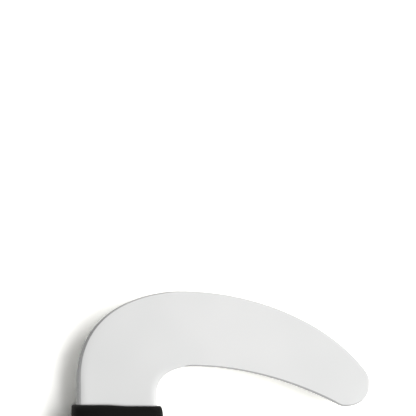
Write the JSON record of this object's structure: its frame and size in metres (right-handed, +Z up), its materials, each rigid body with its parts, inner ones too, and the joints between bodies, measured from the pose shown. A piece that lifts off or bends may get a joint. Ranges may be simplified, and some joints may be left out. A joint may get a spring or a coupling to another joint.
{
  "type": "ergonomic table knife",
  "caption": "Table knife with a hooked steel blade that reaches sideways from a thick upright handle, so food is cut with a straight wrist; the blade's tang is pinned inside a soft black grip.",
  "frame": {"origin": "middle of the handle's length and axis, on the flat rest face at the back of the grip", "axes": "+X from the handle towards the blade's tip, +Y along the handle towards the blade, +Z up off the table"},
  "size_m": [0.102, 0.1512, 0.0226],
  "materials": {
    "blade_steel": "satin",
    "grip_black": "satin",
    "core_plastic": "matte",
    "gasket_rubber": "matte",
    "cap_plastic": "satin",
    "pin_steel": "satin"
  },
  "bodies": {
    "root": {"blade": "blade_steel", "grip_sleeve": "grip_black", "core_front_half": "core_plastic", "core_rear_half": "core_plastic", "mouth_gasket": "gasket_rubber", "butt_cap": "cap_plastic", "tang_pin_upper": "pin_steel", "tang_pin_middle": "pin_steel", "tang_pin_lower": "pin_steel"}
  },
  "joints": []
}
